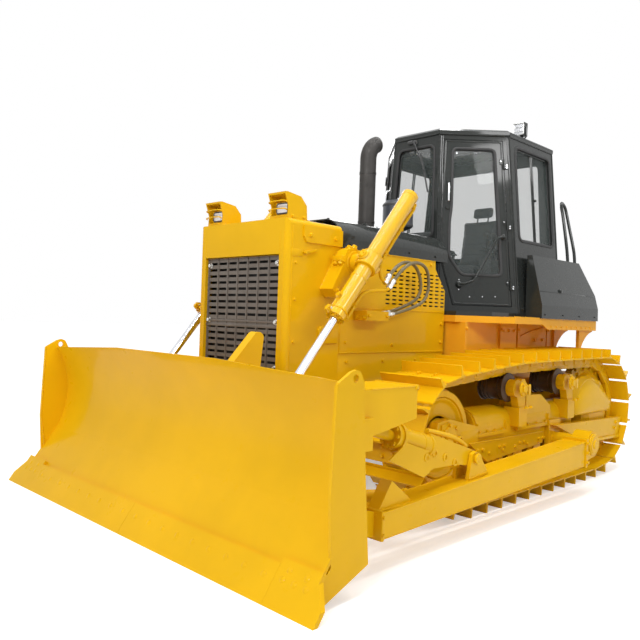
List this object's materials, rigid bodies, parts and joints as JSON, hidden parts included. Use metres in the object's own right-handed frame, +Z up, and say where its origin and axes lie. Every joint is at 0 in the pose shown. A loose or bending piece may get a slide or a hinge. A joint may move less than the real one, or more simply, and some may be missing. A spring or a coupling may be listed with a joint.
{
  "type": "bulldozer",
  "caption": "Track-type bulldozer with a hexagonal cab, a wide tilting blade on push arms, twin lift cylinders and swinging cab doors.",
  "frame": {"origin": "on the ground at the middle of the overall length and width", "axes": "+Z up, +Y from the blade towards the rear, +X to the machine's left"},
  "size_m": [3.388, 5.14, 3.192],
  "materials": {
    "yellow_paint": "gloss enamel, slightly worn on the blade face",
    "fender_paint": "gloss enamel, a little more orange",
    "black_paint": "satin black enamel",
    "grille_steel": "dark perforated sheet",
    "dark_metal": "dull dark metal",
    "chrome_rod": "polished hard chrome",
    "window_glass": "clear safety glass",
    "seat_vinyl": "black vinyl",
    "console_plastic": "moulded plastic",
    "hose_rubber": "olive brown woven hose cover"
  },
  "bodies": {
    "machine": {"track_left": "yellow_paint", "track_right": "yellow_paint", "idlers": "yellow_paint", "sprockets": "yellow_paint", "final_drives": "yellow_paint", "track_rollers": "yellow_paint", "carrier_rollers": "yellow_paint", "track_frame_left": "yellow_paint", "track_frame_right": "yellow_paint", "main_frame": "yellow_paint", "cross_shafts": "yellow_paint", "drawbar": "yellow_paint", "radiator_guard": "yellow_paint", "side_panels": "yellow_paint", "headlamps": "yellow_paint", "cylinder_supports": "yellow_paint", "fender_left": "fender_paint", "fender_right": "fender_paint", "rear_case": "fender_paint", "engine_hood": "black_paint", "side_box_left": "black_paint", "side_box_right": "black_paint", "fuel_tank": "black_paint", "cab_floor": "black_paint", "cab_frame": "black_paint", "cab_roof": "black_paint", "work_lamps": "black_paint", "grille": "grille_steel", "engine_block": "dark_metal", "radiator": "dark_metal", "exhaust_pipe": "dark_metal", "air_precleaner": "dark_metal", "cab_glass": "window_glass", "lift_hoses_left": "hose_rubber", "lift_hoses_right": "hose_rubber", "operator_seat": "seat_vinyl", "control_console": "console_plastic"},
    "blade": {"moldboard": "yellow_paint", "cutting_edge": "yellow_paint", "end_bits": "yellow_paint", "blade_beams": "yellow_paint", "push_arm_left": "yellow_paint", "push_arm_right": "yellow_paint", "tilt_cylinder": "yellow_paint", "pitch_brace": "yellow_paint", "diagonal_braces": "yellow_paint"},
    "lift_barrel_left": {"lift_barrel_left": "yellow_paint", "lift_pipes_left": "yellow_paint"},
    "lift_barrel_right": {"lift_barrel_right": "yellow_paint", "lift_pipes_right": "yellow_paint"},
    "lift_rod_left": {"lift_rod_left": "chrome_rod"},
    "lift_rod_right": {"lift_rod_right": "chrome_rod"},
    "door_left": {"door_left": "black_paint", "door_glass_left": "window_glass"},
    "door_right": {"door_right": "black_paint", "door_glass_right": "window_glass"}
  },
  "joints": [
    {"name": "blade_lift", "type": "hinge", "parent": "machine", "child": "blade", "pos_m": [0, 0.84, 0.4], "axis": [-1, 0, 0], "range_deg": [-9, 18]},
    {"name": "barrel_swing_left", "type": "hinge", "parent": "machine", "child": "lift_barrel_left", "pos_m": [0.72, -1.173, 1.727], "axis": [1, 0, 0], "range_deg": [-27, 14], "deforming": ["lift_hoses_left"]},
    {"name": "rod_slide_left", "type": "slide", "parent": "lift_barrel_left", "child": "lift_rod_left", "axis": [0, -0.639, -0.7692], "range_m": [-0.716, 0.359]},
    {"name": "barrel_swing_right", "type": "hinge", "parent": "machine", "child": "lift_barrel_right", "pos_m": [-0.72, -1.173, 1.727], "axis": [1, 0, 0], "range_deg": [-27, 14], "deforming": ["lift_hoses_right"]},
    {"name": "rod_slide_right", "type": "slide", "parent": "lift_barrel_right", "child": "lift_rod_right", "axis": [0, -0.639, -0.7692], "range_m": [-0.716, 0.359]},
    {"name": "door_left_swing", "type": "hinge", "parent": "machine", "child": "door_left", "pos_m": [0.75123, 0.65023, 1.6803], "axis": [-0.0902, -0.0185, 0.9957], "range_deg": [0, 120]},
    {"name": "door_right_swing", "type": "hinge", "parent": "machine", "child": "door_right", "pos_m": [-0.75123, 0.65023, 1.6803], "axis": [-0.0902, 0.0185, -0.9957], "range_deg": [0, 120]}
  ],
  "couplings": [
    {"joint": "barrel_swing_left", "follows": "blade_lift", "ratio": -1.42},
    {"joint": "rod_slide_left", "follows": "blade_lift", "m_per_rad": -2.27},
    {"joint": "barrel_swing_right", "follows": "blade_lift", "ratio": -1.42},
    {"joint": "rod_slide_right", "follows": "blade_lift", "m_per_rad": -2.27}
  ]
}
